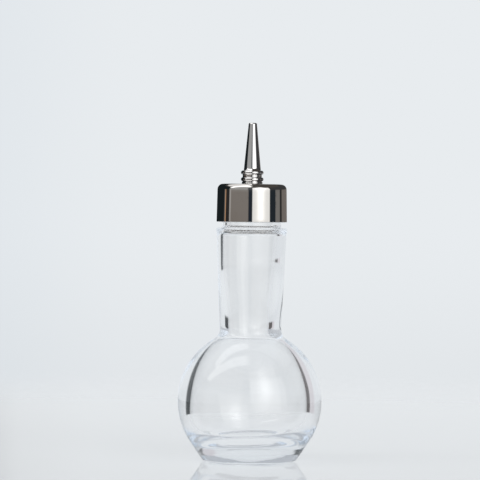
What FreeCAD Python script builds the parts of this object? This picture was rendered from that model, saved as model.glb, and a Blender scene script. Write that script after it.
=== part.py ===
import FreeCAD, Part

import math
import os

# A dasher bottle for bitters: a thick-walled clear glass bottle with a round bulb, a tapered
# neck and a screw finish, a polished metal cap, and a metal dropper spout fixed in the cap.
# Millimetres, +Z up. The origin is on the bottle's axis, in the plane that it stands on.

# ---- glass bottle, outside ----
bulb_radius = 31.2
foot_radius = 20.0               # where the straight flank would meet the table
heel_stand_out = 1.68            # the heel lies this far outside the bulb's sphere
heel_rounding = 2.8
foot_ring_width = 5.5
foot_ring_rounding = 1.2
push_up_height = 2.6             # hollow under the base, at the axis
neck_foot_radius = 13.2          # the neck cone, where it meets the bulb
neck_length = 44.7
shoulder_rounding = 5.0
finish_radius = 12.75            # the cylinder that carries the thread
finish_height = 18.0
rim_rounding = 0.6
collar_ledge = 2.6               # the collar stands out this far from the finish
collar_height = 2.1
collar_rounding = 0.7
collar_lip = 0.2                 # and this far from the top of the neck

# ---- glass bottle, walls ----
bulb_wall = 5.8                  # where the cavity is widest
cavity_widest_drop = 2.2         # the cavity is widest this far below the bulb's centre
base_thickness = 10.0            # from the table to the lowest ring of the cavity's floor
base_crown = 1.0                 # the floor rises this much towards the axis
base_crown_flat = 1.0            # radius of the level spot in the middle of the floor
cavity_floor_radius = 12.0       # the lowest ring of the floor
cavity_shoulder_overhang = 1.0   # the shoulder reaches past the foot of the neck by this
cavity_shoulder_drop = 3.4       # and lies this far below it
cavity_shoulder_slope = math.radians(41)
throat_wall = 4.3                # at the foot of the neck, where the hollow is narrowest
throat_rise = 4.8                # the throat lies this far above the foot of the neck
neck_top_wall = 3.65             # below the step that leads to the narrower finish
neck_bore_run = 11.0             # length of the nearly straight bore below the step
neck_bore_narrowing = 0.35       # and by how much it narrows downwards
bore_step_rise = 1.0             # the step starts this far above the foot of the finish
bore_step_drop = 3.0
finish_wall = 2.25

# ---- screw thread ----
thread_pitch = 4.23
thread_turns = 1.5
thread_depth = 0.95
thread_root_width = 1.75
thread_crest_width = 0.8
thread_start_below_rim = 9.6     # middle of the lower end of the thread on the glass
thread_radial_clearance = 0.25
thread_root_sink = 0.1           # the ridge starts this far inside its wall

# ---- cap ----
cap_plate_thickness = 1.2
cap_skirt_wall = 1.11
cap_skirt_gap = 2.6              # open gap between the skirt and the collar
cap_corner_rounding = 2.6
cap_hem_flare = 0.26             # the skirt widens a little at its open edge
cap_hem_height = 3.4
cap_edge_rounding = 0.25

# ---- dropper spout ----
spout_tip_radius = 1.76
spout_tip_rounding = 0.7
spout_tip_bore_radius = 0.6
spout_cone_foot_radius = 3.5
spout_cone_length = 20.6
spout_bead_rounding = 0.95       # section radius of one bead
spout_bead_spacing = 2.9
spout_foot_height = 0.95         # from the cap up to the lowest point of the first bead
spout_stem_radius = 3.9
spout_stem_clearance = 0.05
spout_stem_wall = 1.5
spout_groove_overhang = 0.25     # groove, foot, bead and swage all reach past the stem
spout_foot_overhang = 0.6
spout_bead_overhang = 1.0
spout_swage_overhang = 1.3       # the stem's end, flared out under the cap plate
spout_swage_thickness = 0.6

# ---- sizes that follow ----
bulb_centre_height = math.sqrt((bulb_radius + heel_stand_out) ** 2 - foot_radius ** 2)
foot_ring_inner_radius = foot_radius - foot_ring_width
neck_foot_height = bulb_centre_height + math.sqrt(bulb_radius ** 2 - neck_foot_radius ** 2)
neck_top_height = neck_foot_height + neck_length
collar_radius = finish_radius + collar_ledge
neck_top_radius = collar_radius - collar_lip
finish_base_height = neck_top_height + collar_height
rim_height = finish_base_height + finish_height

cavity_radius = bulb_radius - bulb_wall
cavity_widest_height = bulb_centre_height - cavity_widest_drop
cavity_shoulder_radius = neck_foot_radius + cavity_shoulder_overhang
cavity_shoulder_height = neck_foot_height - cavity_shoulder_drop
throat_radius = neck_foot_radius - throat_wall
throat_height = neck_foot_height + throat_rise
neck_bore_radius = neck_top_radius - neck_top_wall
finish_bore_radius = finish_radius - finish_wall
bore_step_top = finish_base_height + bore_step_rise
bore_step_bottom = bore_step_top - bore_step_drop
neck_taper_radius = neck_bore_radius - neck_bore_narrowing
neck_taper_height = bore_step_bottom - neck_bore_run

thread_crest_radius = finish_radius + thread_depth
cap_bore_radius = thread_crest_radius + thread_radial_clearance
cap_skirt_radius = cap_bore_radius + cap_skirt_wall
cap_hem_radius = cap_skirt_radius + cap_hem_flare
cap_top_height = rim_height + cap_plate_thickness
cap_open_edge_height = finish_base_height + cap_skirt_gap

spout_entry_bore_radius = spout_stem_radius - spout_stem_wall
spout_groove_radius = spout_stem_radius + spout_groove_overhang
spout_foot_radius = spout_stem_radius + spout_foot_overhang
spout_bead_radius = spout_stem_radius + spout_bead_overhang
spout_swage_radius = spout_stem_radius + spout_swage_overhang

UP = FreeCAD.Vector(0, 0, 1)
ORIGIN = FreeCAD.Vector(0, 0, 0)


def point(place):
    radius, height = place
    return FreeCAD.Vector(radius, 0, height)


def line(start, end):
    return Part.LineSegment(point(start), point(end)).toShape()


def arc(start, middle, end):
    return Part.Arc(point(start), point(middle), point(end)).toShape()


def curve(start, first_pull, second_pull, end):
    """A free curve, pulled by two places."""
    free_curve = Part.BezierCurve()
    free_curve.setPoles([point(start), point(first_pull), point(second_pull), point(end)])
    return free_curve.toShape()


def on_circle(centre_height, radius, angle):
    """The place on a circle centred on the axis, at an angle above the horizontal."""
    return (radius * math.cos(angle), centre_height + radius * math.sin(angle))


def revolve(edges):
    """Spins a closed outline, which runs along the axis, into a solid."""
    return Part.Face(Part.Wire(edges)).revolve(ORIGIN, UP, 360)


def round_rings(solid, rounding, places):
    """Rounds the circular edges that lie at these (radius, height) places."""
    rings = []
    for edge in solid.Edges:
        if edge.Degenerated or not isinstance(edge.Curve, Part.Circle):
            continue
        for radius, height in places:
            same_radius = abs(edge.Curve.Radius - radius) < 1e-4
            same_height = abs(edge.Curve.Center.z - height) < 1e-4
            if same_radius and same_height:
                rings.append(edge)
    return solid.makeFillet(rounding, rings)


def thread_ridge(root_radius, crest_radius, start_height):
    """A helical ridge with a trapezium section, standing out from root to crest."""
    helix = Part.makeHelix(thread_pitch, thread_pitch * thread_turns, root_radius)
    section = Part.makePolygon([
        FreeCAD.Vector(root_radius, 0, -thread_root_width / 2),
        FreeCAD.Vector(crest_radius, 0, -thread_crest_width / 2),
        FreeCAD.Vector(crest_radius, 0, thread_crest_width / 2),
        FreeCAD.Vector(root_radius, 0, thread_root_width / 2),
        FreeCAD.Vector(root_radius, 0, -thread_root_width / 2),
    ])
    ridge = Part.Wire(helix).makePipeShell([section], True, True)
    ridge.translate(FreeCAD.Vector(0, 0, start_height))
    return ridge


def glass_outside():
    """Bulb, flank, foot ring, push-up, neck cone, collar and finish, without the thread."""
    # The flank is the straight tangent from the heel to the sphere of the bulb.
    heel_distance = math.hypot(foot_radius, bulb_centre_height)
    heel_angle = math.atan2(-bulb_centre_height, foot_radius)
    flank_angle = heel_angle + math.acos(bulb_radius / heel_distance)
    neck_angle = math.acos(neck_foot_radius / bulb_radius)
    flank_top = on_circle(bulb_centre_height, bulb_radius, flank_angle)
    bulb_middle = on_circle(bulb_centre_height, bulb_radius, (flank_angle + neck_angle) / 2)
    neck_foot = (neck_foot_radius, neck_foot_height)

    # The push-up is a shallow dome that starts at the inside of the foot ring.
    dome_radius = (foot_ring_inner_radius ** 2 + push_up_height ** 2) / (2 * push_up_height)
    half_way = foot_ring_inner_radius / 2
    half_way_drop = dome_radius - math.sqrt(dome_radius ** 2 - half_way ** 2)
    body = revolve([
        arc((0, push_up_height), (half_way, push_up_height - half_way_drop), (foot_ring_inner_radius, 0)),
        line((foot_ring_inner_radius, 0), (foot_radius, 0)),
        line((foot_radius, 0), flank_top),
        arc(flank_top, bulb_middle, neck_foot),
        line(neck_foot, (neck_top_radius, neck_top_height)),
        line((neck_top_radius, neck_top_height), (collar_radius, neck_top_height)),
        line((collar_radius, neck_top_height), (collar_radius, finish_base_height)),
        line((collar_radius, finish_base_height), (finish_radius, finish_base_height)),
        line((finish_radius, finish_base_height), (finish_radius, rim_height)),
        line((finish_radius, rim_height), (0, rim_height)),
        line((0, rim_height), (0, push_up_height)),
    ])
    body = round_rings(body, heel_rounding, [(foot_radius, 0)])
    body = round_rings(body, foot_ring_rounding, [(foot_ring_inner_radius, 0)])
    body = round_rings(body, shoulder_rounding, [neck_foot])
    return round_rings(body, collar_rounding, [(collar_radius, finish_base_height)])


def glass_inside():
    """The hollow: the bulb's cavity, the throat, the widening neck and the bore of the finish."""
    neck_taper = neck_taper_height - throat_height
    throat_fall = throat_height - cavity_shoulder_height
    cavity_rise = cavity_shoulder_height - cavity_widest_height
    cavity_depth = cavity_widest_height - base_thickness
    across = math.cos(cavity_shoulder_slope)
    down = math.sin(cavity_shoulder_slope)

    crown_height = base_thickness + base_crown
    crown = (base_crown_flat, crown_height)
    floor_edge = (cavity_floor_radius, base_thickness)
    widest = (cavity_radius, cavity_widest_height)
    shoulder = (cavity_shoulder_radius, cavity_shoulder_height)
    throat = (throat_radius, throat_height)
    taper_top = (neck_taper_radius, neck_taper_height)
    step_bottom = (neck_bore_radius, bore_step_bottom)
    step_top = (finish_bore_radius, bore_step_top)
    return revolve([
        line((0, crown_height), crown),
        curve(
            crown,
            (0.5 * cavity_floor_radius, crown_height),
            (0.6 * cavity_floor_radius, base_thickness),
            floor_edge,
        ),
        curve(
            floor_edge,
            (cavity_radius - 1.9, base_thickness + 0.4),
            (cavity_radius, cavity_widest_height - 0.41 * cavity_depth),
            widest,
        ),
        curve(
            widest,
            (cavity_radius, cavity_widest_height + 0.47 * cavity_rise),
            (cavity_shoulder_radius + 6.9 * across, cavity_shoulder_height - 6.9 * down),
            shoulder,
        ),
        curve(
            shoulder,
            (cavity_shoulder_radius - 4.1 * across, cavity_shoulder_height + 4.1 * down),
            (throat_radius, throat_height - 0.3 * throat_fall),
            throat,
        ),
        curve(
            throat,
            (throat_radius, throat_height + 0.32 * neck_taper),
            (neck_taper_radius, neck_taper_height - 0.32 * neck_taper),
            taper_top,
        ),
        line(taper_top, step_bottom),
        line(step_bottom, step_top),
        line(step_top, (finish_bore_radius, rim_height)),
        line((finish_bore_radius, rim_height), (0, rim_height)),
        line((0, rim_height), (0, crown_height)),
    ])


def glass_bottle():
    bottle = glass_outside().cut(glass_inside())
    bottle = round_rings(bottle, rim_rounding, [(finish_radius, rim_height), (finish_bore_radius, rim_height)])
    ridge = thread_ridge(
        finish_radius - thread_root_sink,
        thread_crest_radius,
        rim_height - thread_start_below_rim,
    )
    return bottle.fuse(ridge)


def screw_cap():
    """A cup with a flared hem, a hole for the spout's stem and a thread inside."""
    hem_top = cap_open_edge_height + cap_hem_height
    hem_bow = (cap_hem_radius - cap_skirt_radius) / 4
    cap = revolve([
        line((0, cap_top_height), (cap_skirt_radius, cap_top_height)),
        line((cap_skirt_radius, cap_top_height), (cap_skirt_radius, hem_top)),
        arc((cap_skirt_radius, hem_top),
            (cap_skirt_radius + hem_bow, cap_open_edge_height + cap_hem_height / 2),
            (cap_hem_radius, cap_open_edge_height)),
        line((cap_hem_radius, cap_open_edge_height), (cap_bore_radius, cap_open_edge_height)),
        line((cap_bore_radius, cap_open_edge_height), (cap_bore_radius, rim_height)),
        line((cap_bore_radius, rim_height), (0, rim_height)),
        line((0, rim_height), (0, cap_top_height)),
    ])
    cap = round_rings(cap, cap_corner_rounding, [(cap_skirt_radius, cap_top_height)])
    cap = round_rings(cap, cap_edge_rounding, [
        (cap_hem_radius, cap_open_edge_height),
        (cap_bore_radius, cap_open_edge_height),
    ])
    stem_hole = Part.makeCylinder(
        spout_stem_radius + spout_stem_clearance,
        cap_plate_thickness,
        point((0, rim_height)),
    )
    # The cap's own thread runs half a pitch below the thread on the glass.
    ridge = thread_ridge(
        cap_bore_radius + thread_root_sink,
        finish_radius + thread_radial_clearance,
        rim_height - thread_start_below_rim - thread_pitch / 2,
    )
    return cap.cut(stem_hole).fuse(ridge)


def dropper_spout():
    """A bored cone on two beads, with a stem through the cap that is swaged over below."""
    lower_bead = cap_top_height + spout_foot_height + spout_bead_rounding
    upper_bead = lower_bead + spout_bead_spacing
    cone_foot = upper_bead + spout_bead_rounding
    tip = cone_foot + spout_cone_length
    swage_bottom = rim_height - spout_swage_thickness
    bead_centre_radius = spout_bead_radius - spout_bead_rounding

    def half_height_at(radius):
        """Half of the bead's height where its section reaches this radius."""
        return math.sqrt(spout_bead_rounding ** 2 - (radius - bead_centre_radius) ** 2)

    at_foot = half_height_at(spout_foot_radius)
    at_groove = half_height_at(spout_groove_radius)
    spout = revolve([
        line((0, swage_bottom), (spout_swage_radius, swage_bottom)),
        line((spout_swage_radius, swage_bottom), (spout_swage_radius, rim_height)),
        line((spout_swage_radius, rim_height), (spout_stem_radius, rim_height)),
        line((spout_stem_radius, rim_height), (spout_stem_radius, cap_top_height)),
        line((spout_stem_radius, cap_top_height), (spout_foot_radius, cap_top_height)),
        line((spout_foot_radius, cap_top_height), (spout_foot_radius, lower_bead - at_foot)),
        arc((spout_foot_radius, lower_bead - at_foot),
            (spout_bead_radius, lower_bead),
            (spout_groove_radius, lower_bead + at_groove)),
        line((spout_groove_radius, lower_bead + at_groove), (spout_groove_radius, upper_bead - at_groove)),
        arc((spout_groove_radius, upper_bead - at_groove),
            (spout_bead_radius, upper_bead),
            (bead_centre_radius, cone_foot)),
        line((bead_centre_radius, cone_foot), (spout_cone_foot_radius, cone_foot)),
        line((spout_cone_foot_radius, cone_foot), (spout_tip_radius, tip)),
        line((spout_tip_radius, tip), (0, tip)),
        line((0, tip), (0, swage_bottom)),
    ])
    spout = round_rings(spout, spout_tip_rounding, [(spout_tip_radius, tip)])
    spout = round_rings(spout, spout_swage_thickness / 2, [(spout_swage_radius, swage_bottom)])
    bore = Part.makeCone(
        spout_entry_bore_radius,
        spout_tip_bore_radius,
        tip - swage_bottom,
        point((0, swage_bottom)),
    )
    return spout.cut(bore)


os.makedirs("parts", exist_ok=True)
glass_bottle().exportStep("parts/glass_bottle.step")
screw_cap().exportStep("parts/screw_cap.step")
dropper_spout().exportStep("parts/dropper_spout.step")
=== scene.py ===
import math

import bmesh
import bpy
from mathutils import Matrix, Vector
from mathutils.geometry import interpolate_bezier


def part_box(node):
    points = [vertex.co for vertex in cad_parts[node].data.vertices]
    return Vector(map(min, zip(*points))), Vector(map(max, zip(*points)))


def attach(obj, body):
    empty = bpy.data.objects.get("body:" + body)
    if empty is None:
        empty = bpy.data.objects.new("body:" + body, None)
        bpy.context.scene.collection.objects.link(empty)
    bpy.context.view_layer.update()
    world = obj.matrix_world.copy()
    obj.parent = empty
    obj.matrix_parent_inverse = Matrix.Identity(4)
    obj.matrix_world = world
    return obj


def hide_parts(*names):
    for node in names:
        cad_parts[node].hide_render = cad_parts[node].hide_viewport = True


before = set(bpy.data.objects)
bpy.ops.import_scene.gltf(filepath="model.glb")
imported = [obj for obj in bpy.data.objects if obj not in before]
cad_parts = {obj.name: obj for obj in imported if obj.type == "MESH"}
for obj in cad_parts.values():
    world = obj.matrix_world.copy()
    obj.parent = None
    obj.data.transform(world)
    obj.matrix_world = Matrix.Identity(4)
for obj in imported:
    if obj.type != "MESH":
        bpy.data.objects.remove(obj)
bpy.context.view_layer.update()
mm = 0.001

# ---- View ----
# One camera far off, a little above the cap's edge, and leaning a little.
view_distance = 1300 * mm
view_height = 121 * mm
view_target = Vector((-5.0 * mm, 0, 95.9 * mm))
view_width = 208.1 * mm
view_lean = math.radians(0.64)

camera = bpy.data.objects.new("camera", bpy.data.cameras.new("camera"))
bpy.context.scene.collection.objects.link(camera)
bpy.context.scene.camera = camera
camera_place = Vector((view_target.x, -view_distance, view_height))
look = view_target - camera_place
camera.data.sensor_width = 36
camera.data.lens = camera.data.sensor_width * look.length / view_width
camera.data.clip_start = 0.01
camera.data.clip_end = 100
camera.matrix_world = (
    Matrix.Translation(camera_place)
    @ look.to_track_quat("-Z", "Y").to_matrix().to_4x4()
    @ Matrix.Rotation(view_lean, 4, "Z")
)

# ---- Glass bottle ----
# One thick-walled piece of clear soda glass, blown in a mould: round bulb on a heavy base,
# tapered neck, collar, and a finish with the screw thread for the cap.
glass_low, glass_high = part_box("glass_bottle")
rim_height = glass_high.z
bulb_radius = min(glass_high.x, glass_high.y, -glass_low.x, -glass_low.y)
foot_radius = 20.0 * mm
heel_stand_out = 1.68 * mm
heel_rounding = 2.8 * mm
foot_ring_width = 5.5 * mm
foot_ring_rounding = 1.2 * mm
push_up_height = 2.6 * mm
neck_foot_radius = 13.2 * mm
shoulder_rounding = 5.0 * mm
finish_radius = 12.75 * mm
finish_height = 18.0 * mm
thread_pitch = 4.23 * mm
thread_turns = 1.5
thread_depth = 0.95 * mm
thread_root_width = 1.75 * mm
thread_crest_width = 0.8 * mm
thread_start_below_rim = 9.6 * mm
thread_fade = math.radians(25)
rim_rounding = 0.6 * mm
collar_ledge = 2.6 * mm
collar_height = 2.1 * mm
collar_rounding = 0.7 * mm
collar_lip = 0.2 * mm
finish_wall = 2.25 * mm
bore_step_rise = 1.0 * mm
bore_step_drop = 3.0 * mm
bore_step_rounding = 0.4 * mm
neck_bore_radius = 11.95 * mm
neck_bore_run = 11.0 * mm
neck_bore_narrowing = 0.45 * mm
throat_radius = 8.9 * mm
throat_rise = 4.8 * mm
cavity_shoulder_radius = 14.2 * mm
cavity_shoulder_drop = 3.4 * mm
cavity_shoulder_slope = math.radians(41)
cavity_radius = 25.4 * mm
cavity_widest_height = 23.9 * mm
cavity_floor_radius = 12.0 * mm
base_thickness = 10.0 * mm
base_crown = 1.0 * mm

# How hard the hollow's free curves are pulled, as lengths or as shares of their drop.
taper_pull = 0.32
throat_pull = 0.3
above_shoulder_pull = 4.1 * mm
below_shoulder_pull = 6.9 * mm
widest_pull_up = 0.47
widest_pull_down = 0.41
corner_pull_in = 1.9 * mm
corner_pull_up = 0.4 * mm

bulb_centre_height = math.sqrt((bulb_radius + heel_stand_out) ** 2 - foot_radius**2)
neck_foot_height = bulb_centre_height + math.sqrt(bulb_radius**2 - neck_foot_radius**2)
finish_base_height = rim_height - finish_height
neck_top_height = finish_base_height - collar_height
collar_radius = finish_radius + collar_ledge
neck_top_radius = collar_radius - collar_lip
throat_height = neck_foot_height + throat_rise
bore_step_top = finish_base_height + bore_step_rise
bore_step_bottom = bore_step_top - bore_step_drop
neck_taper_height = bore_step_bottom - neck_bore_run
finish_bore_radius = finish_radius - finish_wall

# How finely the outlines are drawn and turned.
straight_step = 1.2 * mm
round_step = 0.8 * mm
glass_spokes = 240
wall_tolerance = 0.01 * mm
merge_distance = 0.002 * mm


def place(radius, height):
    """A place in the outline's plane."""
    return Vector((radius, 0, height))


def draw_line(bm, pen, end, step=straight_step):
    """Draws a straight stretch of outline from the pen to a place, in even steps."""
    start = pen.co.copy()
    count = max(1, round((end - start).length / step))
    for _ in range(count):
        pen = bmesh.ops.extrude_vert_indiv(bm, verts=[pen])["verts"][0]
        bmesh.ops.translate(bm, verts=[pen], vec=(end - start) / count)
    return pen


def draw_arc(bm, pen, centre, end, step=round_step, least=6):
    """Turns the pen about a centre, the short way round, to the direction of a place."""
    start_arm = pen.co - centre
    end_arm = end - centre
    turn = math.atan2(
        start_arm.z * end_arm.x - start_arm.x * end_arm.z,
        start_arm.x * end_arm.x + start_arm.z * end_arm.z,
    )
    count = max(least, round(abs(turn) * start_arm.length / step))
    made = bmesh.ops.spin(bm, geom=[pen], cent=centre, axis=(0, 1, 0), angle=turn, steps=count)
    return next(v for v in made["geom_last"] if isinstance(v, bmesh.types.BMVert))


def beside_line(line_start, line_end, distance, circle_centre, reach):
    """The place a distance right of a line and a reach from a circle's centre, nearest its start."""
    along = (line_end - line_start).normalized()
    start = line_start + Vector((along.z, 0, -along.x)) * distance
    half = (start - circle_centre).dot(along)
    shift = math.sqrt(half * half - (start - circle_centre).length_squared + reach * reach)
    return start + along * min((-half - shift, -half + shift), key=abs)


def foot_of(point, line_start, line_end):
    """The nearest place to a point on a line."""
    along = (line_end - line_start).normalized()
    return line_start + along * (point - line_start).dot(along)


def spin_outline(bm, spokes, wedges=8):
    """Spins the drawn outline into a wedge, and copies the wedge round the axis."""
    wedge = math.tau / wedges
    around = {"cent": (0, 0, 0), "axis": (0, 0, 1)}
    outline = bm.verts[:] + bm.edges[:]
    bmesh.ops.spin(bm, geom=outline, angle=wedge, steps=spokes // wedges, **around)
    turned = bm.verts[:] + bm.edges[:] + bm.faces[:]
    rest = math.tau - wedge
    bmesh.ops.spin(bm, geom=turned, angle=rest, steps=wedges - 1, use_duplicate=True, **around)


def raise_thread(bm, wall_radius, low_end, depth):
    """Raises a helical ridge on a straight round wall: inwards, if the depth is negative."""
    whole = math.tau * thread_turns
    flank_width = (thread_root_width - thread_crest_width) / 2
    for vertex in bm.verts:
        radius = math.hypot(vertex.co.x, vertex.co.y)
        if abs(radius - wall_radius) > wall_tolerance:
            continue
        angle = math.atan2(vertex.co.y, vertex.co.x) % math.tau
        ridge = 0
        while angle < whole:
            off_middle = abs(vertex.co.z - low_end - thread_pitch * angle / math.tau)
            flank = (thread_root_width / 2 - off_middle) / flank_width
            ridge = max(ridge, min(1, flank, angle / thread_fade, (whole - angle) / thread_fade))
            angle += math.tau
        vertex.co.x *= 1 + ridge * depth / radius
        vertex.co.y *= 1 + ridge * depth / radius


def close_skin(bm):
    """Merges the poles and seams, and turns the faces outwards."""
    bmesh.ops.remove_doubles(bm, verts=bm.verts, dist=merge_distance)
    bmesh.ops.recalc_face_normals(bm, faces=bm.faces)


def make_piece(name, bm):
    """Turns a bmesh into a smooth-shaded object that rides on the one body."""
    mesh = bpy.data.meshes.new(name)
    for face in bm.faces:
        face.smooth = True
    bm.to_mesh(mesh)
    bm.free()
    piece = bpy.data.objects.new(name, mesh)
    bpy.context.scene.collection.objects.link(piece)
    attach(piece, "root")
    return piece


glass = bmesh.new()
bulb_centre = place(0, bulb_centre_height)
heel = place(foot_radius, 0)
heel_angle = math.atan2(-bulb_centre_height, foot_radius)
flank_angle = heel_angle + math.acos(bulb_radius / (bulb_radius + heel_stand_out))
flank_top = bulb_centre + place(math.cos(flank_angle), math.sin(flank_angle)) * bulb_radius
flank_direction = (flank_top - heel).normalized()

# Under the base: the push-up's dome, the foot ring and the heel.
dome_edge = foot_radius - foot_ring_width
dome_radius = (dome_edge**2 + push_up_height**2) / (2 * push_up_height)
dome_centre = place(0, push_up_height - dome_radius)
ring_reach = dome_radius + foot_ring_rounding
ring_height = foot_ring_rounding - dome_centre.z
ring_centre = place(math.sqrt(ring_reach**2 - ring_height**2), foot_ring_rounding)
heel_run = heel_rounding * math.tan(math.atan2(flank_direction.z, flank_direction.x) / 2)
heel_centre = place(foot_radius - heel_run, heel_rounding)

pen = glass.verts.new(place(0, push_up_height))
pen = draw_arc(glass, pen, dome_centre, ring_centre)
pen = draw_arc(glass, pen, ring_centre, place(ring_centre.x, 0))
pen = draw_line(glass, pen, place(heel_centre.x, 0))
pen = draw_arc(glass, pen, heel_centre, heel + flank_direction * heel_run)

# Up the flank and the bulb, round the shoulder and up the neck to the collar.
neck_foot = place(neck_foot_radius, neck_foot_height)
neck_top = place(neck_top_radius, neck_top_height)
shoulder_centre = beside_line(
    neck_foot, neck_top, shoulder_rounding, bulb_centre, bulb_radius + shoulder_rounding
)
pen = draw_line(glass, pen, flank_top)
pen = draw_arc(glass, pen, bulb_centre, shoulder_centre)
pen = draw_arc(glass, pen, shoulder_centre, foot_of(shoulder_centre, neck_foot, neck_top))
pen = draw_line(glass, pen, neck_top - (neck_top - neck_foot).normalized() * collar_lip)
pen = draw_line(glass, pen, place(collar_radius, neck_top_height + collar_lip))
pen = draw_line(glass, pen, place(collar_radius, finish_base_height - collar_rounding), round_step)
pen = draw_arc(
    glass,
    pen,
    place(collar_radius - collar_rounding, finish_base_height - collar_rounding),
    place(collar_radius - collar_rounding, finish_base_height),
)

# In over the ledge, up the finish and over the rim.
ledge_rounding = 0.5 * mm
thread_step = 0.3 * mm
pen = draw_line(glass, pen, place(finish_radius + ledge_rounding, finish_base_height), round_step)
pen = draw_arc(
    glass,
    pen,
    place(finish_radius + ledge_rounding, finish_base_height + ledge_rounding),
    place(finish_radius, finish_base_height + ledge_rounding),
)
pen = draw_line(glass, pen, place(finish_radius, rim_height - rim_rounding), thread_step)
pen = draw_arc(
    glass,
    pen,
    place(finish_radius - rim_rounding, rim_height - rim_rounding),
    place(finish_radius - rim_rounding, rim_height),
)
pen = draw_line(glass, pen, place(finish_bore_radius + rim_rounding, rim_height), round_step)
pen = draw_arc(
    glass,
    pen,
    place(finish_bore_radius + rim_rounding, rim_height - rim_rounding),
    place(finish_bore_radius, rim_height - rim_rounding),
)


def draw_curve(bm, pen, first_pull, second_pull, end, count):
    """Draws a free curve from the pen to a place, pulled by two points."""
    for point in interpolate_bezier(pen.co.copy(), first_pull, second_pull, end, count + 1)[1:]:
        pen = draw_line(bm, pen, point, 1)
    return pen


# Down the bore, through the neck and the throat, round the cavity and across its floor.
taper_radius = neck_bore_radius - neck_bore_narrowing
neck_taper = neck_taper_height - throat_height
throat = place(throat_radius, throat_height)
cavity_shoulder = place(cavity_shoulder_radius, neck_foot_height - cavity_shoulder_drop)
throat_fall = throat_height - cavity_shoulder.z
shoulder_way = place(math.cos(cavity_shoulder_slope), -math.sin(cavity_shoulder_slope))
cavity_rise = cavity_shoulder.z - cavity_widest_height
cavity_depth = cavity_widest_height - base_thickness
outside_count = len(glass.verts)
step_top = place(finish_bore_radius, bore_step_top)
step_bottom = place(neck_bore_radius, bore_step_bottom)
bore_end = place(taper_radius, neck_taper_height)
step_way = (step_bottom - step_top).normalized() * bore_step_rounding
bore_way = (bore_end - step_bottom).normalized() * bore_step_rounding
pen = draw_line(glass, pen, step_top + place(0, bore_step_rounding))
pen = draw_curve(glass, pen, step_top, step_top, step_top + step_way, 4)
pen = draw_line(glass, pen, step_bottom - step_way, round_step)
pen = draw_curve(glass, pen, step_bottom, step_bottom, step_bottom + bore_way, 4)
pen = draw_line(glass, pen, bore_end)
pull = place(taper_radius, neck_taper_height - taper_pull * neck_taper)
pen = draw_curve(glass, pen, pull, throat + place(0, taper_pull * neck_taper), throat, 28)
pull = throat - place(0, throat_pull * throat_fall)
second_pull = cavity_shoulder - shoulder_way * above_shoulder_pull
pen = draw_curve(glass, pen, pull, second_pull, cavity_shoulder, 16)
widest = place(cavity_radius, cavity_widest_height)
pull = cavity_shoulder + shoulder_way * below_shoulder_pull
pen = draw_curve(glass, pen, pull, widest + place(0, widest_pull_up * cavity_rise), widest, 44)
floor_edge = place(cavity_floor_radius, base_thickness)
pull = place(cavity_radius - corner_pull_in, base_thickness + corner_pull_up)
below_widest = widest - place(0, widest_pull_down * cavity_depth)
pen = draw_curve(glass, pen, below_widest, pull, floor_edge, 28)
crown = place(0, base_thickness + base_crown)
pull = place(0.6 * cavity_floor_radius, base_thickness)
pen = draw_curve(glass, pen, pull, crown + place(0.5 * cavity_floor_radius, 0), crown, 12)
in_hollow = glass.verts.layers.int.new("in_hollow")
glass.verts.index_update()
for vertex in glass.verts:
    vertex[in_hollow] = vertex.index >= outside_count
spin_outline(glass, glass_spokes)

# Blown glass is never even: the hollow stands off to one side and its floor slopes.
drift = [
    (0, 0),
    (10 * mm, 0),
    (28 * mm, -0.45 * mm),
    (throat_height, -0.6 * mm),
    (throat_height + 24 * mm, -0.75 * mm),
    (rim_height - 1 * mm, 0),
    (rim_height, 0),
]
floor_slope = math.tan(math.radians(2.4))
floor_slope_top = 42 * mm
floor_slope_fade = 18 * mm


def drift_at(height):
    """How far the hollow stands to the side at a height, eased between the places in drift."""
    for (low, low_drift), (high, high_drift) in zip(drift, drift[1:]):
        if height <= high:
            part = (height - low) / (high - low)
            part = part * part * (3 - 2 * part)
            return low_drift + (high_drift - low_drift) * part
    return 0


for vertex in glass.verts:
    if not vertex[in_hollow]:
        continue
    height = vertex.co.z
    share = min(1, max(0, (floor_slope_top - height) / floor_slope_fade))
    vertex.co.z += vertex.co.x * floor_slope * share * share * (3 - 2 * share)
    vertex.co.x += drift_at(height)
glass.verts.layers.int.remove(in_hollow)
thread_low_end = rim_height - thread_start_below_rim
raise_thread(glass, finish_radius, thread_low_end, thread_depth)
close_skin(glass)
glass_bottle = make_piece("glass_bottle_blown", glass)
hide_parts("glass_bottle")


def add_node(tree, kind, **values):
    """Adds a node, sets its plain settings, and links or sets its inputs by name."""
    node = tree.nodes.new(kind)
    for name, value in values.items():
        if hasattr(node, name):
            setattr(node, name, value)
            continue
        key = int(name[1:]) if name[0] == "i" and name[1:].isdigit() else name.replace("_", " ")
        if isinstance(value, bpy.types.NodeSocket):
            tree.links.new(value, node.inputs[key])
        else:
            node.inputs[key].default_value = value
    return node


def calc(tree, operation, *values):
    """A math node's result."""
    node = add_node(tree, "ShaderNodeMath", operation=operation)
    for socket, value in zip(node.inputs, values):
        if isinstance(value, bpy.types.NodeSocket):
            tree.links.new(value, socket)
        else:
            socket.default_value = value
    return node.outputs[0]


def step(tree, value, low, high, smooth=True):
    """Goes from 0 at low to 1 at high."""
    kind = "SMOOTHSTEP" if smooth else "LINEAR"
    node = add_node(tree, "ShaderNodeMapRange", interpolation_type=kind)
    tree.links.new(value, node.inputs["Value"])
    node.inputs["From Min"].default_value = low
    node.inputs["From Max"].default_value = high
    return node.outputs["Result"]


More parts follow.
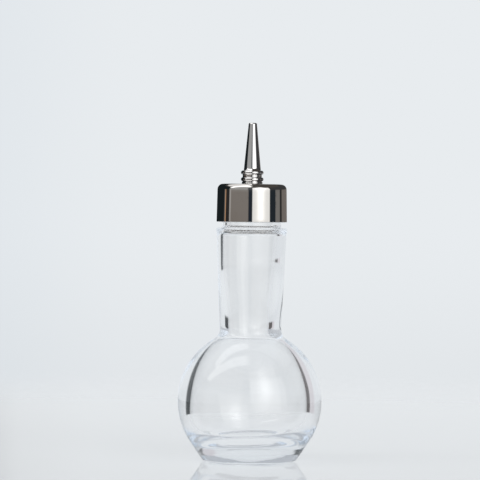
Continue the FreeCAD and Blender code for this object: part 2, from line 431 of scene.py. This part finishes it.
def blend(tree, factor, first, second):
    """Mixes two colours."""
    node = add_node(tree, "ShaderNodeMix", data_type="RGBA")
    for socket, value in zip((node.inputs[0], node.inputs[6], node.inputs[7]), (factor, first, second)):
        if isinstance(value, bpy.types.NodeSocket):
            tree.links.new(value, socket)
        else:
            socket.default_value = value
    return node.outputs[2]


def new_group(name, outputs):
    """A node group that reads a place and gives the named outputs."""
    group = bpy.data.node_groups.new(name, "ShaderNodeTree")
    group.interface.new_socket("Place", in_out="INPUT", socket_type="NodeSocketVector")
    group.interface.new_socket("Upright", in_out="INPUT", socket_type="NodeSocketFloat")
    for label, kind in outputs:
        group.interface.new_socket(label, in_out="OUTPUT", socket_type="NodeSocket" + kind)
    ins = group.nodes.new("NodeGroupInput").outputs
    return group, ins["Place"], ins["Upright"], group.nodes.new("NodeGroupOutput").inputs


def noise(tree, place_socket, scale, detail=2.0, stretch=(1, 1, 1), turned=(0, 0, 0)):
    """Noise from 0 to 1 over a place, finer with scale, stretched along its small axes."""
    mapping = add_node(tree, "ShaderNodeMapping", Vector=place_socket, Scale=stretch, Rotation=turned)
    return add_node(
        tree, "ShaderNodeTexNoise", Vector=mapping.outputs[0], Scale=scale, Detail=detail
    ).outputs["Fac"]


def new_material(name, base_colour, group, upright, bump_depth):
    """A material whose surface reads a node group over the piece's own place."""
    material = bpy.data.materials.new(name)
    material.use_nodes = True
    tree = material.node_tree
    place_on_piece = add_node(tree, "ShaderNodeTexCoord").outputs["Object"]
    detail = add_node(tree, "ShaderNodeGroup", node_tree=group)
    tree.links.new(place_on_piece, detail.inputs["Place"])
    detail.inputs["Upright"].default_value = upright
    bump = add_node(tree, "ShaderNodeBump", Height=detail.outputs["Height"], Distance=bump_depth)
    surface = tree.nodes["Principled BSDF"]
    tinted = add_node(tree, "ShaderNodeMix", data_type="RGBA", blend_type="MULTIPLY", i0=1.0, i6=base_colour)
    tree.links.new(detail.outputs["Tone"], tinted.inputs[7])
    tree.links.new(tinted.outputs[2], surface.inputs["Base Color"])
    tree.links.new(detail.outputs["Roughness"], surface.inputs["Roughness"])
    tree.links.new(bump.outputs["Normal"], surface.inputs["Normal"])
    return material, surface


# The skin is fire polished, with faint upright streaks and a soft ripple from the blowing,
# level chill waves near the foot, and a few dry specks of dust. Through thick glass the
# light turns a little blue-grey. Where a path runs out of bounces, the glass shows a painted glow: an even
# grey emission that stands in for the light lost there.
chill_low = 13 * mm
chill_top = 19 * mm
chill_depth = 14.0
longest_path = 20
painted_glow_tone = (0.56, 0.578, 0.605, 1)
ripple, spot, upright, ripple_out = new_group(
    "blown_ripple", [("Height", "Float"), ("Roughness", "Float"), ("Tone", "Color")]
)
streaks = noise(ripple, spot, 900, 3, (1, 1, 0.03))
swell = noise(ripple, spot, 170, 1)
blown = calc(ripple, "MULTIPLY_ADD", streaks, upright, swell)
chill = noise(ripple, spot, 330, 1, (0.14, 0.14, 1), (0.05, 0.09, 0))
above_foot = add_node(ripple, "ShaderNodeSeparateXYZ", Vector=spot).outputs["Z"]
near_foot = calc(ripple, "MULTIPLY", step(ripple, above_foot, chill_top, chill_low), chill_depth)
ripple.links.new(calc(ripple, "MULTIPLY_ADD", chill, near_foot, blown), ripple_out["Height"])
dusty = step(ripple, noise(ripple, spot, 90, 2), 0.55, 0.7)
speck = step(ripple, noise(ripple, spot, 2600, 1), 0.74, 0.78)
dust = calc(ripple, "MULTIPLY", dusty, speck)
ripple.links.new(calc(ripple, "MULTIPLY", dust, 0.3), ripple_out["Roughness"])
ripple.links.new(blend(ripple, dust, (1, 1, 1, 1), (0.93, 0.94, 0.95, 1)), ripple_out["Tone"])

clear_glass, surface = new_material("clear_glass", (1, 1, 1, 1), ripple, 0.12, 0.006 * mm)
surface.inputs["IOR"].default_value = 1.52
surface.inputs["Transmission Weight"].default_value = 1
tree = clear_glass.node_tree
# Painted glow: once a path has used up its bounces, the glass surface emits an even grey.
ray_depth = add_node(tree, "ShaderNodeLightPath").outputs["Ray Depth"]
painted_glow_mask = calc(tree, "GREATER_THAN", ray_depth, longest_path - 0.5)
painted_glow = blend(tree, painted_glow_mask, (0, 0, 0, 1), painted_glow_tone)
tree.links.new(painted_glow, surface.inputs["Emission Color"])
surface.inputs["Emission Strength"].default_value = 1
absorption = add_node(tree, "ShaderNodeVolumeAbsorption", Color=(0.66, 0.73, 0.80, 1), Density=6.0)
tree.links.new(absorption.outputs["Volume"], tree.nodes["Material Output"].inputs["Volume"])
glass_bottle.data.materials.append(clear_glass)

# ---- Screw cap ----
# A deep-drawn cap of bright plated steel, with a rounded shoulder and a skirt that widens
# a little to its open edge. It screws onto the finish and carries the spout.
cap_low, cap_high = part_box("screw_cap")
cap_top = cap_high.z
cap_plate_thickness = 1.2 * mm
cap_corner_rounding = 2.6 * mm
cap_hem_flare = 0.26 * mm
cap_edge_rounding = 0.25 * mm
stem_hole_radius = 3.95 * mm
thread_clearance = 0.25 * mm
cap_spokes = 192
corner_step = 0.3 * mm
edge_step = 0.1 * mm

cap_bore_radius = finish_radius + thread_depth + thread_clearance
cap_bottom = cap_low.z
cap_hem_radius = cap_high.x
cap_skirt_radius = cap_hem_radius - cap_hem_flare

cap = bmesh.new()
pen = cap.verts.new(place(stem_hole_radius, cap_top - cap_plate_thickness))
pen = draw_line(cap, pen, place(stem_hole_radius, cap_top), round_step)
pen = draw_line(cap, pen, place(cap_skirt_radius - cap_corner_rounding, cap_top))
corner = place(cap_skirt_radius - cap_corner_rounding, cap_top - cap_corner_rounding)
pen = draw_arc(cap, pen, corner, place(cap_skirt_radius, corner.z), corner_step)
pen = draw_line(cap, pen, place(cap_hem_radius, cap_bottom + cap_edge_rounding))
edge_centre = place(cap_hem_radius - cap_edge_rounding, cap_bottom + cap_edge_rounding)
pen = draw_arc(cap, pen, edge_centre, place(edge_centre.x, cap_bottom), edge_step)
pen = draw_line(cap, pen, place(cap_bore_radius + cap_edge_rounding, cap_bottom), round_step)
inner_edge = place(cap_bore_radius + cap_edge_rounding, cap_bottom + cap_edge_rounding)
pen = draw_arc(cap, pen, inner_edge, place(cap_bore_radius, inner_edge.z), edge_step)
pen = draw_line(cap, pen, place(cap_bore_radius, cap_top - cap_plate_thickness), thread_step)
pen = draw_line(cap, pen, place(stem_hole_radius, cap_top - cap_plate_thickness))
spin_outline(cap, cap_spokes)
raise_thread(cap, cap_bore_radius, thread_low_end - thread_pitch / 2, -thread_depth)
close_skin(cap)
screw_cap = make_piece("screw_cap_drawn", cap)
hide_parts("screw_cap")

# Bright plating: fine lines from the forming, soft smudges from handling, a few hair scratches.
plating, spot, upright, plating_out = new_group(
    "bright_plating", [("Height", "Float"), ("Roughness", "Float"), ("Tone", "Color")]
)
flat_spot = add_node(plating, "ShaderNodeVectorMath", operation="MULTIPLY", i0=spot, i1=(1, 1, 0))
outward = add_node(plating, "ShaderNodeVectorMath", operation="NORMALIZE", i0=flat_spot.outputs[0])
ring_lines = noise(plating, spot, 2600, 2, (0, 0, 1))
upright_lines = noise(plating, outward.outputs[0], 55, 2)
turned_lines = calc(plating, "SUBTRACT", upright_lines, ring_lines)
lines = calc(plating, "MULTIPLY_ADD", turned_lines, upright, ring_lines)
smudge = step(plating, noise(plating, spot, 130, 4), 0.5, 0.72)
worn = step(plating, noise(plating, spot, 210, 1), 0.5, 0.6)
hair = noise(plating, spot, 700, 1, (1, 1, 0.08), (0.5, 0.9, 0.3))
scratch = calc(plating, "MULTIPLY", step(plating, hair, 0.72, 0.75), worn)
height = calc(plating, "SUBTRACT", lines, scratch)
plating.links.new(height, plating_out["Height"])
rough = calc(plating, "MULTIPLY_ADD", lines, 0.012, 0.022)
rough = calc(plating, "MULTIPLY_ADD", smudge, 0.03, rough)
rough = calc(plating, "MULTIPLY_ADD", scratch, 0.12, rough)
plating.links.new(rough, plating_out["Roughness"])
worn_tone = blend(plating, smudge, (1, 1, 1, 1), (0.955, 0.95, 0.94, 1))
plating.links.new(blend(plating, scratch, worn_tone, (0.8, 0.8, 0.81, 1)), plating_out["Tone"])

cap_plating, surface = new_material("cap_plating", (0.755, 0.745, 0.735, 1), plating, 1.0, 0.0006 * mm)
surface.inputs["Metallic"].default_value = 1
screw_cap.data.materials.append(cap_plating)

# ---- Dropper spout ----
# A turned and plated spout: tapering cone over two round beads and a foot, on a stem that
# goes through the cap and is swaged out under it.
spout_low, spout_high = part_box("dropper_spout")
spout_tip = spout_high.z
tip_radius = 1.76 * mm
tip_rounding = 0.7 * mm
tip_bore = 0.6 * mm
cone_foot_radius = 3.5 * mm
cone_length = 20.6 * mm
bead_rounding = 0.95 * mm
bead_spacing = 2.9 * mm
foot_height = 0.95 * mm
stem_radius = 3.9 * mm
stem_bore = 2.4 * mm
groove_overhang = 0.25 * mm
foot_overhang = 0.6 * mm
bead_overhang = 1.0 * mm
swage_overhang = 1.3 * mm
swage_thickness = 0.6 * mm

swage_bottom = spout_low.z
foot_radius_spout = stem_radius + foot_overhang
groove_radius = stem_radius + groove_overhang
bead_centre = stem_radius + bead_overhang - bead_rounding
lower_bead = cap_top + foot_height + bead_rounding
upper_bead = lower_bead + bead_spacing
cone_foot = upper_bead + bead_rounding
bead_reach = math.sqrt(bead_rounding**2 - (groove_radius - bead_centre) ** 2)
fine_step = 0.12 * mm
flat_step = 0.2 * mm
spout_spokes = 96

spout = bmesh.new()
pen = spout.verts.new(place(stem_bore, swage_bottom))
pen = draw_line(spout, pen, place(stem_radius + swage_overhang, swage_bottom))
pen = draw_line(spout, pen, place(stem_radius + swage_overhang, swage_bottom + swage_thickness))
pen = draw_line(spout, pen, place(stem_radius, swage_bottom + swage_thickness))
pen = draw_line(spout, pen, place(stem_radius, cap_top))
pen = draw_line(spout, pen, place(foot_radius_spout, cap_top))
pen = draw_line(spout, pen, place(foot_radius_spout, cap_top + foot_height * 0.6), 0.3 * mm)
for centre_height in (lower_bead, upper_bead):
    pen = draw_line(spout, pen, place(groove_radius, centre_height - bead_reach), flat_step)
    centre = place(bead_centre, centre_height)
    pen = draw_arc(spout, pen, centre, place(bead_centre + 1 * mm, centre_height), fine_step)
    pen = draw_arc(spout, pen, centre, place(groove_radius, centre_height + bead_reach), fine_step)
pen = draw_line(spout, pen, place(cone_foot_radius + 0.2 * mm, cone_foot), flat_step)
cone_tilt = (cone_foot_radius - tip_radius) / cone_length
tip_edge_radius = tip_radius + cone_tilt * tip_rounding
pen = draw_line(spout, pen, place(tip_edge_radius, spout_tip - tip_rounding))
tip_centre = place(tip_edge_radius - tip_rounding, spout_tip - tip_rounding)
pen = draw_arc(spout, pen, tip_centre, place(tip_centre.x, spout_tip), fine_step)
pen = draw_line(spout, pen, place(tip_bore, spout_tip), flat_step)
pen = draw_line(spout, pen, place(tip_bore, spout_tip - 3 * mm), 0.5 * mm)
pen = draw_line(spout, pen, place(stem_bore, swage_bottom))
spin_outline(spout, spout_spokes)
close_skin(spout)
dropper_spout = make_piece("dropper_spout_turned", spout)
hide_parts("dropper_spout")
spout_plating, surface = new_material("spout_plating", (0.79, 0.79, 0.80, 1), plating, 0.0, 0.00025 * mm)
surface.inputs["Metallic"].default_value = 1
dropper_spout.data.materials.append(spout_plating)

# ---- Floor and studio ----
# A pale glossy acrylic sheet, lit a little from inside, that fades out at its rim so that
# no horizon shows.
floor_radius = 640 * mm
floor_fade_start = 0.45
floor_tone = (0.79, 0.82, 0.845, 1)

floor_bm = bmesh.new()
bmesh.ops.create_circle(floor_bm, cap_ends=True, radius=floor_radius, segments=96)
floor_mesh = bpy.data.meshes.new("floor")
floor_bm.to_mesh(floor_mesh)
floor_bm.free()
floor = bpy.data.objects.new("floor", floor_mesh)
bpy.context.scene.collection.objects.link(floor)


acrylic = bpy.data.materials.new("acrylic_floor")
acrylic.use_nodes = True
tree = acrylic.node_tree
surface = tree.nodes["Principled BSDF"]
surface.inputs["Base Color"].default_value = (0.86, 0.885, 0.91, 1)
place_on_floor = add_node(tree, "ShaderNodeTexCoord").outputs["Object"]
dust = step(tree, noise(tree, place_on_floor, 700, 4), 0.55, 0.8)
tree.links.new(calc(tree, "MULTIPLY_ADD", dust, 0.03, 0.02), surface.inputs["Roughness"])
surface.inputs["IOR"].default_value = 1.49
surface.inputs["Emission Color"].default_value = floor_tone
surface.inputs["Emission Strength"].default_value = 0.225
path = add_node(tree, "ShaderNodeLightPath")
glow = add_node(tree, "ShaderNodeEmission", Color=floor_tone)
through = step(tree, path.outputs["Transmission Depth"], 0.4, 0.6, False)
lit = add_node(tree, "ShaderNodeMixShader", i0=through, i1=surface.outputs[0], i2=glow.outputs[0])
reach = add_node(tree, "ShaderNodeVectorMath", operation="LENGTH", i0=place_on_floor).outputs["Value"]
faded = step(tree, reach, floor_radius * floor_fade_start, floor_radius * 0.97)
gone = add_node(tree, "ShaderNodeBsdfTransparent")
seen = add_node(tree, "ShaderNodeMixShader", i0=faded, i1=lit.outputs[0], i2=gone.outputs[0])
tree.links.new(seen.outputs[0], tree.nodes["Material Output"].inputs["Surface"])
floor.data.materials.append(acrylic)

# The studio round it: pale backdrop behind, black flags at its sides, a grey-brown room in
# front, a tall softbox at the right and a long one overhead.
world = bpy.data.worlds.new("studio")
bpy.context.scene.world = world
world.use_nodes = True
tree = world.node_tree
tree.nodes.clear()

direction = add_node(tree, "ShaderNodeTexCoord").outputs["Generated"]
split = add_node(tree, "ShaderNodeSeparateXYZ", Vector=direction)
x, y, z = split.outputs
front = calc(tree, "MULTIPLY", y, -1)
turn = calc(tree, "ADD", calc(tree, "DIVIDE", calc(tree, "ARCTAN2", x, front), math.tau), 0.5)
rise = calc(tree, "DEGREES", calc(tree, "ARCSINE", z))
path = add_node(tree, "ShaderNodeLightPath")

# Each band is its first and last angle round the horizon, in degrees, and its colour: the
# room low down and higher up, as metal shows it, and the room as glass bends it into view.
backdrop = (0.765, 0.795, 0.82)
upper_bands = [
    (-180, -176, backdrop),
    (-174, -84, (0.012, 0.016, 0.018)),
    (-78, -16, (0.40, 0.40, 0.39)),
    (-12, 0, (0.08, 0.085, 0.09)),
    (2.0, 60, (1.15, 1.14, 1.12)),
    (63, 168, (0.05, 0.05, 0.052)),
    (172, 180, backdrop),
]
room_bands = [
    (-180, -174, backdrop),
    (-172, -105, (0.012, 0.016, 0.018)),
    (-103, -100, (0.16, 0.15, 0.14)),
    (-99.5, -96.5, (0.60, 0.34, 0.18)),
    (-96, -81, (0.03, 0.028, 0.028)),
    (-80, -75, (0.42, 0.40, 0.38)),
    (-74, -12, (0.23, 0.207, 0.188)),
    (-11, 0.3, (0.018, 0.024, 0.034)),
    (2.0, 60, (0.95, 0.94, 0.91)),
    (62, 83, (0.02, 0.026, 0.033)),
    (85, 104, (0.2, 0.19, 0.18)),
    (106, 115, (0.03, 0.03, 0.03)),
    (117, 168, (0.19, 0.17, 0.155)),
    (172, 180, backdrop),
]
glass_bands = [
    (-180, -144, backdrop),
    (-139, -105, (0.02, 0.027, 0.03)),
    (-100, -12, (0.23, 0.207, 0.188)),
    (-11, 0.3, (0.018, 0.024, 0.034)),
    (2.0, 60, (0.95, 0.94, 0.91)),
    (62, 83, (0.02, 0.026, 0.033)),
    (85, 104, (0.2, 0.19, 0.18)),
    (106, 132, (0.12, 0.11, 0.11)),
    (135, 148, (0.66, 0.64, 0.67)),
    (152, 180, backdrop),
]


def band_ramp(bands):
    """A colour ramp round the horizon, from bands of angle and colour."""
    node = add_node(tree, "ShaderNodeValToRGB", Fac=turn)
    stops = node.color_ramp.elements
    stops.remove(stops[1])
    stops[0].position = 0
    stops[0].color = (*bands[0][2], 1)
    for low, high, colour in bands:
        for edge in (low, high):
            stops.new(edge / 360 + 0.5).color = (*colour, 1)
    return node.outputs["Color"]


passes = path.outputs["Transmission Depth"]
bounces = calc(tree, "SUBTRACT", path.outputs["Ray Depth"], passes)
entered = calc(tree, "GREATER_THAN", passes, 0.5)
straight = calc(tree, "MULTIPLY", entered, calc(tree, "LESS_THAN", bounces, 1.5))
deep = calc(tree, "MULTIPLY", entered, calc(tree, "GREATER_THAN", bounces, 2.5))

# Rises are in degrees above the horizon. The dark walls end lower at the left.
upper_start = (1, 8)
ceiling_start = (33, 40)
wall_foot = (-9.2, -7.2)
wall_foot_right = 5.2
ceiling_tone = (0.075, 0.068, 0.062, 1)
glass_ceiling_tone = (0.42, 0.46, 0.52, 1)
low_light_tone = (0.73, 0.76, 0.79, 1)
gloss_tone = (0.78, 0.81, 0.84, 1)
room = blend(tree, step(tree, rise, *upper_start), band_ramp(room_bands), band_ramp(upper_bands))
room = blend(tree, step(tree, rise, *ceiling_start), room, ceiling_tone)
rightward = step(tree, x, -0.1, 0.1)
low_edge = calc(tree, "SUBTRACT", rise, calc(tree, "MULTIPLY", rightward, wall_foot_right))
walls = blend(tree, step(tree, low_edge, *wall_foot), low_light_tone, band_ramp(glass_bands))
walls = blend(tree, step(tree, rise, *ceiling_start), walls, glass_ceiling_tone)
outer_back = step(tree, y, -0.2, 0.3)
glass_gloss = blend(tree, outer_back, room, gloss_tone)
surround = blend(tree, path.outputs["Is Singular Ray"], room, glass_gloss)
surround = blend(tree, entered, surround, walls)

# The softbox's hot middle.
hot_turn, hot_rise = 29, 22
hot_width, hot_height = 9, 13
hot_strength = 2.2
off_turn = calc(tree, "MULTIPLY", calc(tree, "SUBTRACT", turn, 0.5 + hot_turn / 360), 360 / hot_width)
off_rise = calc(tree, "DIVIDE", calc(tree, "SUBTRACT", rise, hot_rise), hot_height)
off_square = calc(
    tree, "ADD", calc(tree, "MULTIPLY", off_turn, off_turn), calc(tree, "MULTIPLY", off_rise, off_rise)
)
heat = calc(tree, "MULTIPLY", calc(tree, "EXPONENT", calc(tree, "MULTIPLY", off_square, -0.5)), hot_strength)

# The overhead softbox, and the light round it that only plated metal shows.
overhead_left = (-2.1, -1.8)
overhead_right = (0.05, -0.15)
overhead_near = (0.1, 0.2)
overhead_far = (0.53, 0.47)
overhead_strength = 1.9
top_glow_start = (40, 46)
top_glow_strength = 0.85
above = step(tree, z, 0.02, 0.05, False)
safe_z = calc(tree, "MAXIMUM", z, 0.01)
across = calc(tree, "DIVIDE", x, safe_z)
ahead = calc(tree, "DIVIDE", front, safe_z)
beside = step(tree, across, *overhead_left), step(tree, across, *overhead_right)
overhead = calc(tree, "MULTIPLY", *beside)
overhead = calc(tree, "MULTIPLY", overhead, step(tree, ahead, *overhead_near))
overhead = calc(tree, "MULTIPLY", overhead, step(tree, ahead, *overhead_far))
overhead = calc(tree, "MULTIPLY", overhead, above)
light = calc(tree, "ADD", calc(tree, "MULTIPLY", overhead, overhead_strength), heat)
plated = calc(tree, "LESS_THAN", path.outputs["Is Singular Ray"], 0.5)
plated = calc(tree, "MULTIPLY", plated, path.outputs["Is Glossy Ray"])
top_glow = calc(tree, "MULTIPLY", step(tree, rise, *top_glow_start), beside[0])
top_glow = calc(tree, "MULTIPLY", top_glow, beside[1])
top_glow = calc(tree, "MULTIPLY", top_glow, calc(tree, "MULTIPLY", plated, top_glow_strength))
light = calc(tree, "ADD", light, top_glow)
lights = add_node(tree, "ShaderNodeBackground", Color=(1, 0.995, 0.98, 1), Strength=light)
surroundings = add_node(tree, "ShaderNodeBackground", Color=surround)
lit_room = add_node(tree, "ShaderNodeAddShader", i0=surroundings.outputs[0], i1=lights.outputs[0])

# What is seen straight, or straight through the hollow, is only the pale backdrop, which
# darkens a little downwards and to the left. Light bent many times shows one even grey.
sky_low = (0.755, 0.785, 0.81, 1)
sky_high = (0.807, 0.838, 0.863, 1)
left_shade = (0.935, 0.95, 0.965, 1)
sky = blend(tree, step(tree, z, -0.085, -0.01), sky_low, sky_high)
shade = add_node(tree, "ShaderNodeMix", data_type="RGBA", blend_type="MULTIPLY", i7=left_shade)
tree.links.new(sky, shade.inputs[6])
far_left = calc(tree, "MULTIPLY", step(tree, x, -0.03, -0.1), path.outputs["Is Camera Ray"])
tree.links.new(far_left, shade.inputs[0])
sky = shade.outputs[2]
sky = blend(tree, deep, sky, painted_glow_tone)
plain = add_node(tree, "ShaderNodeBackground", Color=sky)
clear = calc(tree, "MAXIMUM", path.outputs["Is Camera Ray"], calc(tree, "MAXIMUM", straight, deep))
mix = add_node(tree, "ShaderNodeMixShader", i0=clear, i1=lit_room.outputs[0], i2=plain.outputs[0])
add_node(tree, "ShaderNodeOutputWorld", Surface=mix.outputs[0])

scene = bpy.context.scene
scene.view_settings.view_transform = "Standard"
scene.cycles.max_bounces = longest_path
scene.cycles.transmission_bounces = longest_path
scene.cycles.glossy_bounces = longest_path
scene.cycles.caustics_reflective = True
scene.cycles.caustics_refractive = True
